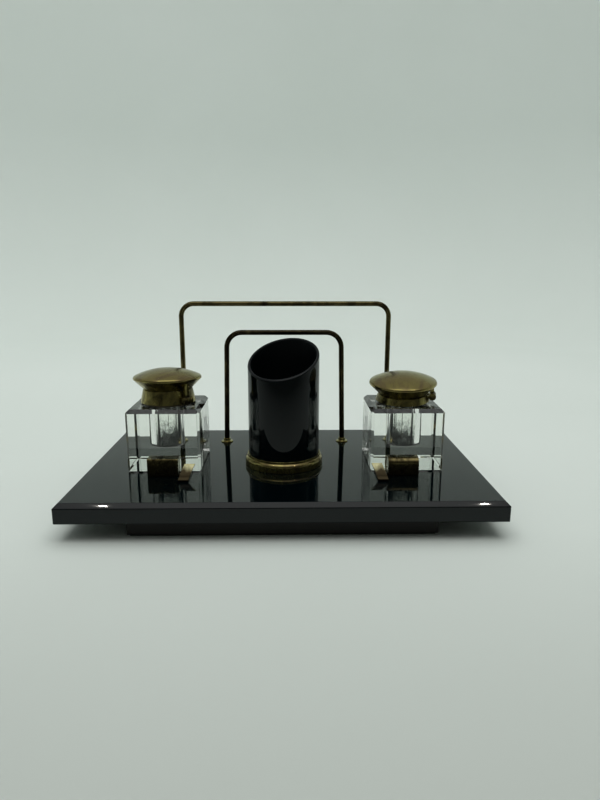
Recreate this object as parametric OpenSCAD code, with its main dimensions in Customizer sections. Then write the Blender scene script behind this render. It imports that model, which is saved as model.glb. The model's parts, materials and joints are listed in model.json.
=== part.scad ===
// Desk inkstand: a bevelled black glass slab on a low ebonised plinth carries two square
// crystal inkwells with hinged brass lids, a pen cup cut on the slant, two wire letter
// hoops and two brass pen rests. Millimetres, +X right, +Y back, +Z up. The origin is the
// middle of the felt's underside, where the stand touches the desk.

/* [Slab and plinth] */
// Width of the slab, left to right
slab_w = 280; // [270:1:320]
// Depth of the slab, front to back
slab_d = 170; // [166:1:200]
// Thickness of the slab
slab_t = 13; // [10:0.5:18]
// Bevel round the slab's top edge
slab_bevel = 2.8; // [1:0.1:4]
// Fine arris round the slab's bottom edge
slab_arris = 0.5; // [0.2:0.1:1]
// How far the plinth stands in from each end of the slab
plinth_end = 42; // [34:0.5:44]
// How far the plinth stands back from the slab's front and back edges
plinth_inset = 8; // [5:0.5:9]
// Thickness of the plinth
plinth_t = 10.8; // [9.5:0.1:16]
// Thickness of the felt under the plinth
felt_t = 1.2; // [0.8:0.1:3]
// How far the felt stands in from the plinth's edge
felt_inset = 1.5; // [0.5:0.5:3]

/* [Inkwells] */
// Side of each square crystal block
well_side = 51; // [48:0.5:54]
// Height of each crystal block without its neck
well_h = 44.2; // [42:0.2:52]
// Bevel round the block's top
well_top_bevel = 2.6; // [1:0.1:4]
// Bevel on the block's upright edges
well_side_bevel = 1.8; // [0.5:0.1:3]
// Bevel round the block's foot
well_foot_bevel = 1; // [0.4:0.1:2]
// Radius of the ink bore
bore_r = 12.5; // [10:0.1:12.8]
// Thickness of crystal under the ink bore
bore_floor = 15; // [10:0.5:24]
// Radius of the round corner at the bottom of the bore
bore_fillet = 5; // [2:0.5:8]
// Outer radius of the crystal neck
neck_r = 15; // [14.8:0.1:15.6]
// Height of the crystal neck
neck_h = 4.6; // [3:0.1:5]
// Distance from the slab's left end to the left well's middle
left_well_end = 56.5; // [50:0.5:60]
// Distance from the slab's right end to the right well's middle
right_well_end = 53.5; // [50:0.5:60]
// Distance from the slab's front edge to the front of the wells
well_front = 58.5; // [56:0.5:64]
// Air under each loose well, left by the slight crown of its ground foot
well_air = 0.2; // [0.1:0.1:0.4]

/* [Collars and lids] */
// Outer radius of the collar's top
collar_r = 17.5; // [17.2:0.1:18]
// How far the collar spreads out from its top to its foot
collar_spread = 2.1; // [0.8:0.1:2.4]
// Gap between the crystal neck and the collar
neck_gap = 0.8; // [0.6:0.1:1]
// Height of the left collar
left_collar_h = 9.4; // [7:0.1:11]
// Height of the right collar
right_collar_h = 4.7; // [4.6:0.1:10]
// Cement between the crystal and the left collar, at the middle
left_bed_t = 1; // [0.6:0.1:1.6]
// Cement between the crystal and the right collar, at the middle
right_bed_t = 2.1; // [2.1:0.1:3]
// Lean of the left collar and lid towards the front, in degrees
left_front_angle = -1.5; // [-1.5:0.5:2]
// Lean of the right collar and lid towards the front, in degrees
right_front_angle = 5.5; // [0:0.5:5.5]
// Lean of the right collar and lid towards the left, in degrees
right_side_angle = 1.5; // [0:0.5:1.5]
// Radius of the lid's rim
rim_r = 24.2; // [23:0.1:25.4]
// Radius of the bead rolled round the rim
rim_bead_r = 0.7; // [0.5:0.1:1]
// Radius of the lid's neck where it meets the collar
lid_neck_r = 17; // [16:0.1:17.4]
// Height of the lid's cone from collar to rim
lid_cone_h = 7.4; // [6:0.1:8.5]
// Rise of the lid's dome above its rim
lid_dome_h = 7; // [6:0.5:9]
// Radius of the round shoulder between the dome and its rim
lid_shoulder_r = 2; // [1.6:0.1:3]
// Thickness of the lid's spun brass
lid_wall = 1.2; // [0.8:0.1:1.5]
// Thickness of the plate that closes the lid's underside
lid_plate_t = 0.8; // [0.5:0.1:1.2]
// Air between a closed lid and its collar
lid_seat_gap = 0.25; // [0.1:0.05:0.4]

/* [Lid hinge] */
// Distance of the hinge pin from the middle of the well
hinge_out = 21.2; // [20.8:0.1:22]
// Height of the hinge pin above the collar's foot
hinge_up = 3.2; // [3:0.1:3.4]
// Where the left hinge stands round its collar: degrees forward of due right
left_hinge_turn = 42; // [0:1:45]
// Where the right hinge stands round its collar: degrees forward of due right
right_hinge_turn = 13; // [0:1:45]
// Radius of the hinge knuckles
knuckle_r = 2.6; // [2.2:0.1:2.8]
// Width of each of the collar's two knuckles
outer_knuckle_w = 2.4; // [2:0.1:3]
// Width of the lid's knuckle
lid_knuckle_w = 2.8; // [2.4:0.1:4]
// Side gap between knuckles
knuckle_gap = 0.2; // [0.1:0.05:0.4]
// Radius of the hinge pin
pin_r = 1; // [0.8:0.05:1.2]
// Running clearance of the pin in the lid's knuckle
pin_fit = 0.05; // [0.02:0.01:0.09]

/* [Pen cup] */
// Outer radius of the cup's tube
cup_r = 25.5; // [22:0.5:28]
// Wall of the cup's tube
cup_wall = 2.2; // [2:0.1:4]
// Height of the slanted rim at the cup's axis, above the slab
cup_mid_h = 77; // [60:0.5:100]
// Slant of the rim, in degrees
cup_slant = 25; // [5:1:30]
// Turn of the slant's high side from straight back, towards the right, in degrees
cup_slant_turn = 20; // [0:1:90]
// Distance from the slab's front edge to the cup's axis
cup_front = 80.5; // [76:0.5:90]
// Height of the brass moulding round the cup's foot
cup_base_h = 8; // [7.5:0.5:12]
// How far the moulding's foot stands out from the tube
cup_base_out = 2.6; // [2:0.1:4]
// Radius of the moulding's round shoulder
cup_bead_r = 3; // [2:0.1:3.4]
// Thickness of the moulding's brass floor
cup_floor_t = 2; // [1.5:0.1:3]
// Gap between the tube and the moulding
cup_gap = 0.1; // [0.05:0.05:0.3]
// Thickness of the felt disc in the cup
cup_pad_t = 2.8; // [2.7:0.1:4]

/* [Letter hoops] */
// Radius of the brass rod
rod_r = 2; // [1.75:0.05:2.2]
// Half the distance between the front hoop's feet
front_hoop_x = 47; // [40:0.5:60]
// Height of the front hoop's bar above the slab
front_hoop_h = 89.4; // [70:0.2:110]
// Distance from the slab's back edge to the front hoop
front_hoop_back = 37; // [34:0.5:40]
// Bend radius of the front hoop
front_bend_r = 12; // [6:0.5:16]
// Lean of each of the front hoop's legs towards the other, in degrees
front_leg_angle = 1.2; // [0.2:0.1:2]
// Distance from the slab's left end to the rear hoop's left leg
rear_left_end = 55.6; // [52:0.2:60]
// Distance from the slab's right end to the rear hoop's right leg
rear_right_end = 54; // [52:0.2:60]
// Height of the rear hoop's bar above the slab
rear_hoop_h = 110.5; // [95:0.5:130]
// Distance from the slab's back edge to the rear hoop
rear_hoop_back = 15; // [14.5:0.5:20]
// Bend radius of the rear hoop
rear_bend_r = 10.5; // [6:0.5:16]
// Radius of the ferrule's plate at each foot
ferrule_r = 4.8; // [4.2:0.1:6]
// Thickness of the ferrule's plate
ferrule_plate_t = 0.9; // [0.6:0.1:1.5]
// Height of each ferrule with its neck
ferrule_h = 3.2; // [2.5:0.1:5]
// Wall of the ferrule's neck
ferrule_wall = 0.8; // [0.5:0.1:1.2]

/* [Pen rests] */
// Distance from each end of the slab to its block's middle
rest_end = 57.6; // [54:0.2:62]
// Width of each block
rest_w = 21; // [16:0.5:24]
// Depth of each block
rest_d = 9; // [8:0.5:10]
// Height of each block
rest_h = 11.5; // [9:0.5:14]
// Fine bevel on the block's edges
rest_bevel = 0.6; // [0.2:0.1:1]
// Gap between each block and the well behind it
rest_gap = 1; // [0.5:0.1:3]
// Thickness of the foot plate and its leaf
leaf_t = 1; // [0.8:0.1:1.6]
// Gap between the block and the foot of the leaf, towards the centre line
leaf_gap = 1.4; // [0.5:0.1:4]
// Width of the leaf
leaf_w = 7; // [5:0.5:9]
// How far the fold at the leaf's foot stands in front of the block
leaf_out = 9.5; // [8:0.5:10]
// Radius of the fold
fold_r = 1; // [0.8:0.05:1.4]
// Length of the leaf up its slope
leaf_l = 12; // [8:0.5:13]
// Slope of the leaf, in degrees
leaf_rise = 45; // [40:1:60]
// How far the leaf slants towards the centre line on its way up
leaf_slant = 3.5; // [0:0.5:6]

/* [Fixings] */
// Radius of the hoop studs and pen rest screws
stud_r = 1.45; // [1.2:0.05:1.6]
// Radius of the pen cup's bolt
bolt_r = 2.4; // [2:0.1:2.6]
// Clearance of a stud or bolt in its hole
hole_fit = 0.25; // [0.15:0.05:0.5]
// Clearance of a stud or bolt in the pieces that grip it
thread_fit = 0.05; // [0.02:0.01:0.1]
// Depth of the counterbores under the plinth
sink_depth = 6; // [6:0.1:7]
// Clearance round a washer in its counterbore
sink_fit = 0.6; // [0.3:0.1:0.8]
// Thickness of the small washers
washer_t = 0.5; // [0.4:0.1:0.8]
// Radius of the small washers
washer_r = 3.5; // [3.4:0.1:3.7]
// Height of the small nuts
nut_h = 2.4; // [2:0.1:2.8]
// Width of the small nuts across their flats
nut_flats = 5.5; // [5:0.1:6]
// Thickness of the bolt's washer
bolt_washer_t = 0.8; // [0.6:0.1:1]
// Radius of the bolt's washer
bolt_washer_r = 5; // [4.9:0.1:6]
// Height of the bolt's nut
bolt_nut_h = 3.6; // [3:0.1:4]
// Width of the bolt's nut across its flats
bolt_nut_flats = 8; // [7.5:0.1:9]
// Radius of the bolt's head
bolt_head_r = 4.6; // [4:0.1:5]
// Height of the bolt's head
bolt_head_h = 2.2; // [1.8:0.1:2.4]
// How far a stud or bolt stands out of its nut
stud_proud = 0.4; // [0.2:0.1:0.6]
// Depth that each pen rest screw reaches into its block
rest_screw_in = 6; // [4:0.5:7]

/* [Hidden] */
$fn = 96;

brass = "#8f7436";
steel = "#9a9a94";

// A cut that has to run past a face overshoots it by this much.
past = 1;

// Heights of the layers
plinth_z = felt_t;
slab_z = plinth_z + plinth_t;
top_z = slab_z + slab_t;
sink_z = plinth_z + sink_depth;

// Places on the slab
plinth_w = slab_w - 2 * plinth_end;
left_well_x = slab_w / 2 - left_well_end;
right_well_x = slab_w / 2 - right_well_end;
rear_left_x = slab_w / 2 - rear_left_end;
rear_right_x = slab_w / 2 - rear_right_end;
rest_x = slab_w / 2 - rest_end;
slab_front_y = -slab_d / 2;
slab_back_y = slab_d / 2;
well_y = slab_front_y + well_front + well_side / 2;
cup_y = slab_front_y + cup_front;
front_hoop_y = slab_back_y - front_hoop_back;
rear_hoop_y = slab_back_y - rear_hoop_back;
rest_front_y = slab_front_y + well_front - rest_gap - rest_d;
rest_y = rest_front_y + rest_d / 2;

// Feet of the hoops, as [x, y]
front_feet = [[-front_hoop_x, front_hoop_y], [front_hoop_x, front_hoop_y]];
rear_feet = [[-rear_left_x, rear_hoop_y], [rear_right_x, rear_hoop_y]];
hoop_feet = concat(front_feet, rear_feet);
rest_screw_places = [[-rest_x, rest_y], [rest_x, rest_y]];

// Round holes
stud_hole_r = stud_r + hole_fit;
bolt_hole_r = bolt_r + hole_fit;
stud_sink_r = washer_r + sink_fit;
bolt_sink_r = bolt_washer_r + sink_fit;
collar_bore_r = neck_r + neck_gap;

// How each collar sits on its well: bed thickness, lean to the front, lean to the left
// and turn of the hinge
left_seat = [left_bed_t, left_front_angle, 0, left_hinge_turn];
right_seat = [right_bed_t, right_front_angle, right_side_angle, right_hinge_turn];

// The lid's dome is a wide crown that meets a small shoulder without a crease. The
// shoulder's middle is level with the rim, and crown_slope is the sine of their angle.
shoulder_x = rim_r - lid_shoulder_r;
crown_r = (shoulder_x * shoulder_x + lid_dome_h * lid_dome_h - lid_shoulder_r * lid_shoulder_r)
  / (2 * (lid_dome_h - lid_shoulder_r));
crown_slope = shoulder_x / (crown_r - lid_shoulder_r);
lid_mouth_r = lid_neck_r - lid_wall;

// Hinge barrel
outer_knuckle_y = lid_knuckle_w / 2 + knuckle_gap + outer_knuckle_w / 2;
barrel_l = lid_knuckle_w + 2 * (knuckle_gap + outer_knuckle_w);
pin_head_t = 0.5;
pin_head_r = pin_r + pin_head_t;
lug_t = 1.6;

// The ball that closes a joint in a leaning leg is wider than the rod by less than the
// ferrule's clearance.
rod_swell = 0.4 * thread_fit;

// ---- shapes used more than once ----

// Upright outline of a block: a rectangle with its top and foot corners cut off
module bevel_side(span, h, top_cut, foot_cut) {
  polygon([
    [-span / 2 + foot_cut, 0], [span / 2 - foot_cut, 0], [span / 2, foot_cut],
    [span / 2, h - top_cut], [span / 2 - top_cut, h], [-span / 2 + top_cut, h],
    [-span / 2, h - top_cut], [-span / 2, foot_cut]
  ]);
}

// Block standing on z = 0 with bevels round its top and its foot
module bevelled_block(w, d, h, top_cut, foot_cut) {
  intersection() {
    rotate([90, 0, 0])
      linear_extrude(d, center = true)
        bevel_side(w, h, top_cut, foot_cut);
    rotate([90, 0, 90])
      linear_extrude(w, center = true)
        bevel_side(d, h, top_cut, foot_cut);
  }
}

// Hexagon nut that hangs from z = 0 downwards
module nut(flats, h, hole_r) {
  translate([0, 0, -h])
    difference() {
      cylinder(h = h, d = flats / cos(30), $fn = 6);
      translate([0, 0, -past])
        cylinder(h = h + 2 * past, r = hole_r);
    }
}

// Flat washer that hangs from z = 0 downwards
module washer(r, t, hole_r) {
  translate([0, 0, -t])
    difference() {
      cylinder(h = t, r = r);
      translate([0, 0, -past])
        cylinder(h = t + 2 * past, r = hole_r);
    }
}

// Every hole through the slab and the plinth, and the counterbores when asked
module fixing_holes(z0, z1, sinks) {
  for (p = concat(hoop_feet, rest_screw_places))
    translate([p[0], p[1], z0 - past]) {
      cylinder(h = z1 - z0 + 2 * past, r = stud_hole_r);
      if (sinks)
        cylinder(h = sink_z - z0 + past, r = stud_sink_r);
    }
  translate([0, cup_y, z0 - past]) {
    cylinder(h = z1 - z0 + 2 * past, r = bolt_hole_r);
    if (sinks)
      cylinder(h = sink_z - z0 + past, r = bolt_sink_r);
  }
}

// ---- slab, plinth and felt ----

module base_slab() {
  color("#101418")
    difference() {
      translate([0, 0, slab_z])
        bevelled_block(slab_w, slab_d, slab_t, slab_bevel, slab_arris);
      fixing_holes(slab_z, top_z, false);
    }
}

module plinth() {
  color("#1d1813")
    difference() {
      translate([-plinth_w / 2, slab_front_y + plinth_inset, plinth_z])
        cube([plinth_w, slab_d - 2 * plinth_inset, plinth_t]);
      fixing_holes(plinth_z, slab_z, true);
    }
}

module felt_pad() {
  inset = plinth_inset + felt_inset;
  color("#26302a")
    translate([-plinth_w / 2 + felt_inset, slab_front_y + inset, 0])
      cube([plinth_w - 2 * felt_inset, slab_d - 2 * inset, felt_t]);
}

// ---- inkwells: every well stands on z = 0 with its middle at the origin ----

module well_place(x) {
  translate([x, well_y, top_z + well_air])
    children();
}

// Frame of a collar: its foot's middle at the origin, hinge along +X
module collar_frame(seat) {
  translate([0, 0, well_h + seat[0]])
    rotate([seat[1], -seat[2], 0])
      rotate([0, 0, -seat[3]])
        children();
}

module ink_bore() {
  depth = well_h + neck_h - bore_floor + past;
  translate([0, 0, bore_floor])
    rotate_extrude() {
      translate([0, bore_fillet])
        square([bore_r, depth - bore_fillet]);
      square([bore_r - bore_fillet, depth]);
      intersection() {
        translate([bore_r - bore_fillet, bore_fillet])
          circle(bore_fillet);
        square([bore_r, bore_fillet + past]);
      }
    }
}

module inkwell_glass() {
  cut = well_side_bevel * sqrt(2);
  difference() {
    union() {
      intersection() {
        bevelled_block(well_side, well_side, well_h, well_top_bevel, well_foot_bevel);
        rotate([0, 0, 45])
          cube([well_side * sqrt(2) - cut, well_side * sqrt(2) - cut, 3 * well_h],
            center = true);
      }
      cylinder(h = well_h + neck_h, r = neck_r);
    }
    ink_bore();
  }
}

module collar_bed(seat) {
  tall = seat[0] + collar_r;
  difference() {
    translate([0, 0, well_h])
      cylinder(h = tall, r = collar_r);
    translate([0, 0, well_h - past])
      cylinder(h = tall + 2 * past, r = neck_r + thread_fit);
    collar_frame(seat)
      translate([0, 0, tall])
        cube(2 * tall, center = true);
  }
}

module knuckle(y, w) {
  translate([hinge_out, y, hinge_up])
    rotate([90, 0, 0])
      cylinder(h = w, r = knuckle_r, center = true);
}

module pin_bore(fit) {
  translate([hinge_out, 0, hinge_up])
    rotate([90, 0, 0])
      cylinder(h = barrel_l + 2 * past, r = pin_r + fit, center = true);
}

module collar(h) {
  lug_x = collar_r - (collar_r - collar_bore_r) / 2;
  knuckle_room = 0.25;
  difference() {
    union() {
      difference() {
        cylinder(h = h, r1 = collar_r + collar_spread, r2 = collar_r);
        translate([hinge_out, 0, hinge_up])
          rotate([90, 0, 0])
            cylinder(h = lid_knuckle_w + 2 * knuckle_gap, r = knuckle_r + knuckle_room,
              center = true);
      }
      for (side = [-1, 1]) {
        knuckle(side * outer_knuckle_y, outer_knuckle_w);
        translate([lug_x, side * outer_knuckle_y - outer_knuckle_w / 2, hinge_up - lug_t / 2])
          cube([hinge_out - lug_x, outer_knuckle_w, lug_t]);
      }
    }
    translate([0, 0, -past])
      cylinder(h = h + 2 * past, r = collar_bore_r);
    pin_bore(pin_fit);
  }
}

module hinge_pin() {
  translate([hinge_out, 0, hinge_up])
    rotate([90, 0, 0]) {
      cylinder(h = barrel_l + 2 * pin_head_t, r = pin_r, center = true);
      for (side = [-1, 1])
        translate([0, 0, side * (barrel_l + pin_head_t) / 2])
          cylinder(h = pin_head_t, r = pin_head_r, center = true);
    }
}

// Outline of the dome over its rim, skin by skin: cut is how far it lies inside the outside
module dome_outline(cut) {
  translate([0, lid_cone_h]) {
    intersection() {
      translate([0, lid_dome_h - crown_r])
        circle(crown_r - cut);
      square([crown_slope * (crown_r - cut), lid_dome_h]);
    }
    intersection() {
      translate([shoulder_x, 0])
        circle(lid_shoulder_r - cut);
      square([rim_r, lid_dome_h]);
    }
  }
}

// Outline of the lid's outside, from its axis
module lid_outside() {
  polygon([[0, 0], [lid_neck_r, 0], [rim_r, lid_cone_h], [0, lid_cone_h]]);
  dome_outline(0);
  translate([rim_r - rim_bead_r, lid_cone_h])
    circle(rim_bead_r);
}

// Outline of the hollow in the lid
module lid_hollow() {
  polygon([
    [0, -past], [lid_mouth_r, -past], [lid_mouth_r, lid_wall],
    [rim_r - lid_wall, lid_cone_h], [0, lid_cone_h]
  ]);
  dome_outline(lid_wall);
}

module lid(collar_h) {
  base = collar_h + lid_seat_gap;
  arm_in = 1.6;
  arm_out = 1;
  arm_top = base + lid_cone_h - rim_bead_r;
  difference() {
    union() {
      translate([0, 0, base])
        rotate_extrude()
          lid_outside();
      knuckle(0, lid_knuckle_w);
      translate([hinge_out - arm_in, -lid_knuckle_w / 2, hinge_up])
        cube([arm_in + arm_out, lid_knuckle_w, arm_top - hinge_up]);
    }
    translate([0, 0, base])
      rotate_extrude()
        lid_hollow();
    pin_bore(pin_fit);
  }
}

module lid_plate(collar_h) {
  translate([0, 0, collar_h + lid_seat_gap + (lid_wall - lid_plate_t) / 2])
    cylinder(h = lid_plate_t, r = lid_mouth_r - thread_fit);
}

module inkwell_glass_left() {
  color("#dfe9e6", 0.5)
    well_place(-left_well_x)
      inkwell_glass();
}

module inkwell_glass_right() {
  color("#dfe9e6", 0.5)
    well_place(right_well_x)
      inkwell_glass();
}

module collar_bed_left() {
  color("#b9b2a0")
    well_place(-left_well_x)
      collar_bed(left_seat);
}

module collar_bed_right() {
  color("#b9b2a0")
    well_place(right_well_x)
      collar_bed(right_seat);
}

module collar_left() {
  color(brass)
    well_place(-left_well_x)
      collar_frame(left_seat)
        collar(left_collar_h);
}

module collar_right() {
  color(brass)
    well_place(right_well_x)
      collar_frame(right_seat)
        collar(right_collar_h);
}

module hinge_pin_left() {
  color("#5a4a26")
    well_place(-left_well_x)
      collar_frame(left_seat)
        hinge_pin();
}

module hinge_pin_right() {
  color("#5a4a26")
    well_place(right_well_x)
      collar_frame(right_seat)
        hinge_pin();
}

module lid_left() {
  color(brass)
    well_place(-left_well_x)
      collar_frame(left_seat)
        lid(left_collar_h);
}

module lid_right() {
  color(brass)
    well_place(right_well_x)
      collar_frame(right_seat)
        lid(right_collar_h);
}

module lid_plate_left() {
  color("#a58a48")
    well_place(-left_well_x)
      collar_frame(left_seat)
        lid_plate(left_collar_h);
}

module lid_plate_right() {
  color("#a58a48")
    well_place(right_well_x)
      collar_frame(right_seat)
        lid_plate(right_collar_h);
}

// ---- pen cup ----

module pen_cup_tube() {
  tall = cup_mid_h + 2 * cup_r;
  color("#0b0d10")
    translate([0, cup_y, top_z])
      difference() {
        translate([0, 0, cup_floor_t])
          cylinder(h = tall, r = cup_r);
        cylinder(h = tall + 2 * past, r = cup_r - cup_wall);
        translate([0, 0, cup_mid_h])
          rotate([0, 0, -cup_slant_turn])
            rotate([cup_slant, 0, 0])
              translate([0, 0, tall])
                cube(2 * tall, center = true);
      }
}

// Turned brass dish: an upright foot, a round shoulder and a narrow band round the cup
module pen_cup_base() {
  foot_r = cup_r + cup_base_out;
  band_t = 1;
  band_h = 1.2;
  color(brass)
    translate([0, cup_y, top_z])
      difference() {
        rotate_extrude() {
          square([foot_r, cup_base_h - band_h - cup_bead_r]);
          square([foot_r - cup_bead_r, cup_base_h - band_h]);
          translate([foot_r - cup_bead_r, cup_base_h - band_h - cup_bead_r])
            circle(cup_bead_r);
          square([cup_r + band_t, cup_base_h]);
        }
        translate([0, 0, cup_floor_t])
          cylinder(h = cup_base_h, r = cup_r + cup_gap);
        translate([0, 0, -past])
          cylinder(h = cup_floor_t + 2 * past, r = bolt_hole_r);
      }
}

module pen_cup_pad() {
  color("#26302a")
    translate([0, cup_y, top_z + cup_floor_t])
      difference() {
        cylinder(h = cup_pad_t, r = cup_r - cup_wall - cup_gap);
        translate([0, 0, -past])
          cylinder(h = cup_pad_t + 2 * past, r = bolt_head_r + hole_fit);
      }
}

module pen_cup_bolt() {
  head_z = top_z + cup_floor_t;
  end_z = sink_z - bolt_washer_t - bolt_nut_h - stud_proud;
  slot_w = 1.2;
  color(steel)
    translate([0, cup_y, 0])
      difference() {
        union() {
          translate([0, 0, head_z])
            cylinder(h = bolt_head_h, r = bolt_head_r);
          translate([0, 0, end_z])
            cylinder(h = head_z - end_z + bolt_head_h / 2, r = bolt_r);
        }
        translate([0, 0, head_z + bolt_head_h])
          cube([2 * bolt_head_r + past, slot_w, bolt_head_h], center = true);
      }
}

module pen_cup_washer() {
  color(steel)
    translate([0, cup_y, sink_z])
      washer(bolt_washer_r, bolt_washer_t, bolt_hole_r);
}

module pen_cup_nut() {
  color(steel)
    translate([0, cup_y, sink_z - bolt_washer_t])
      nut(bolt_nut_flats, bolt_nut_h, bolt_r + thread_fit);
}

// ---- letter hoops ----

// Bend in the hoop's own plane about [x, z], from the bar down to a leg that may lean
module rod_bend(x, z, bend_r, lean) {
  translate([x, 0, z])
    rotate([-90, -90, 0])
      rotate_extrude(angle = 90 - lean)
        translate([bend_r, 0])
          circle(rod_r);
}

// Ball that closes a joint in a leaning leg
module rod_joint(x, z) {
  translate([x, 0, z])
    sphere(rod_r + rod_swell);
}

// Half of a bent rod: a stud, a foot, a leg that may lean inwards, a bend and half the bar
module half_hoop(half_w, h, bend_r, lean) {
  stud_l = top_z - sink_z + washer_t + nut_h + stud_proud;
  bend_z = h - bend_r;
  leg_top_z = bend_z + bend_r * sin(lean);
  leg_l = (leg_top_z - ferrule_h) / cos(lean);
  leg_top_x = half_w - leg_l * sin(lean);
  bend_x = leg_top_x - bend_r * cos(lean);
  translate([half_w, 0, -stud_l])
    cylinder(h = stud_l + past, r = stud_r);
  translate([half_w, 0, 0])
    cylinder(h = ferrule_h, r = rod_r);
  translate([half_w, 0, ferrule_h])
    rotate([0, -lean, 0])
      cylinder(h = leg_l, r = rod_r);
  if (lean > 0) {
    rod_joint(half_w, ferrule_h);
    rod_joint(leg_top_x, leg_top_z);
  }
  rod_bend(bend_x, bend_z, bend_r, lean);
  translate([0, 0, h])
    rotate([0, 90, 0])
      cylinder(h = bend_x, r = rod_r);
}

module hoop(left_w, right_w, h, bend_r, lean) {
  half_hoop(right_w, h, bend_r, lean);
  mirror([1, 0, 0])
    half_hoop(left_w, h, bend_r, lean);
}

module ferrules(feet) {
  for (p = feet)
    translate([p[0], p[1], top_z])
      difference() {
        union() {
          cylinder(h = ferrule_plate_t, r = ferrule_r);
          cylinder(h = ferrule_h, r = rod_r + ferrule_wall);
        }
        translate([0, 0, -past])
          cylinder(h = ferrule_h + 2 * past, r = rod_r + thread_fit);
      }
}

module front_hoop() {
  color(brass)
    translate([0, front_hoop_y, top_z])
      hoop(front_hoop_x, front_hoop_x, front_hoop_h, front_bend_r, front_leg_angle);
}

module rear_hoop() {
  color(brass)
    translate([0, rear_hoop_y, top_z])
      hoop(rear_left_x, rear_right_x, rear_hoop_h, rear_bend_r, 0);
}

module front_hoop_ferrules() {
  color(brass)
    ferrules(front_feet);
}

module rear_hoop_ferrules() {
  color(brass)
    ferrules(rear_feet);
}

module hoop_washers() {
  color(steel)
    for (p = hoop_feet)
      translate([p[0], p[1], sink_z])
        washer(washer_r, washer_t, stud_hole_r);
}

module hoop_nuts() {
  color(steel)
    for (p = hoop_feet)
      translate([p[0], p[1], sink_z - washer_t])
        nut(nut_flats, nut_h, stud_r + thread_fit);
}

// ---- pen rests: made for the right side, mirrored for the left ----

module pen_rest_block() {
  translate([rest_x, rest_y, top_z + leaf_t])
    difference() {
      bevelled_block(rest_w, rest_d, rest_h, rest_bevel, rest_bevel);
      translate([0, 0, -past])
        cylinder(h = rest_screw_in + past, r = stud_r + thread_fit);
    }
}

// Foot plate under the block, with a tongue that comes forward beside the block, folds
// and slopes back up as a leaf
module pen_rest_leaf() {
  leaf_x = rest_x - rest_w / 2 - leaf_gap;
  plate_x = leaf_x - leaf_w;
  fold_y = rest_front_y - leaf_out;
  difference() {
    union() {
      translate([plate_x, rest_front_y, top_z])
        cube([rest_x + rest_w / 2 - plate_x, rest_d, leaf_t]);
      translate([plate_x, fold_y, top_z])
        cube([leaf_w, leaf_out + rest_d, leaf_t]);
      translate([plate_x, fold_y, top_z + fold_r])
        rotate([0, 90, 0])
          cylinder(h = leaf_w, r = fold_r);
      translate([leaf_x, fold_y, top_z + fold_r])
        rotate([leaf_rise, 0, 0])
          linear_extrude(leaf_t, center = true)
            polygon([
              [-leaf_w, 0], [0, 0], [-leaf_slant, leaf_l], [-leaf_slant - leaf_w, leaf_l]
            ]);
    }
    translate([rest_x, rest_y, top_z - past])
      cylinder(h = leaf_t + 2 * past, r = stud_hole_r);
  }
}

module pen_rest_block_left() {
  color(brass)
    mirror([1, 0, 0])
      pen_rest_block();
}

module pen_rest_block_right() {
  color(brass)
    pen_rest_block();
}

module pen_rest_leaf_left() {
  color("#b39a58")
    mirror([1, 0, 0])
      pen_rest_leaf();
}

module pen_rest_leaf_right() {
  color("#b39a58")
    pen_rest_leaf();
}

module pen_rest_screws() {
  head_h = 2;
  tip_gap = 0.5;
  shank_l = top_z - sink_z + leaf_t + rest_screw_in - tip_gap;
  color(steel)
    for (p = rest_screw_places)
      translate([p[0], p[1], sink_z]) {
        cylinder(h = shank_l, r = stud_r);
        translate([0, 0, -head_h])
          cylinder(h = head_h, r = 2 * stud_r);
      }
}

base_slab();
plinth();
felt_pad();
inkwell_glass_left();
collar_bed_left();
collar_left();
hinge_pin_left();
lid_left();
lid_plate_left();
inkwell_glass_right();
collar_bed_right();
collar_right();
hinge_pin_right();
lid_right();
lid_plate_right();
pen_cup_tube();
pen_cup_base();
pen_cup_pad();
pen_cup_bolt();
pen_cup_washer();
pen_cup_nut();
front_hoop();
rear_hoop();
front_hoop_ferrules();
rear_hoop_ferrules();
hoop_washers();
hoop_nuts();
pen_rest_block_left();
pen_rest_leaf_left();
pen_rest_block_right();
pen_rest_leaf_right();
pen_rest_screws();
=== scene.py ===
"""Desk inkstand: a glass slab with crystal inkwells, a pen cup, letter hoops and pen rests."""

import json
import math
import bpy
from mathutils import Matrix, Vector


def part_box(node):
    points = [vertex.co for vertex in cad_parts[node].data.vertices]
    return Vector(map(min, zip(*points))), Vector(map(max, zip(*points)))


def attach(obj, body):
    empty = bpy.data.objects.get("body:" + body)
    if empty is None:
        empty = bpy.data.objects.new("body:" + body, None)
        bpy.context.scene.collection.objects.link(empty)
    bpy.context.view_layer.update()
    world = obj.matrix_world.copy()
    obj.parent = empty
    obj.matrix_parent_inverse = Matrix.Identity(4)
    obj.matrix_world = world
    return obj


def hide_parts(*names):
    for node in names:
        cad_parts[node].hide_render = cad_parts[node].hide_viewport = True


bl_info = {
    "name": "Desk inkstand",
    "version": (1, 0, 0),
    "blender": (4, 5, 0),
    "location": "3D View > Sidebar > Inkstand",
    "description": "Builds the visible pieces of a desk inkstand over its engineering frame",
    "category": "Object",
}

import bmesh
import bpy
from bpy.props import FloatProperty, FloatVectorProperty, PointerProperty
from mathutils import Matrix, Vector

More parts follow.
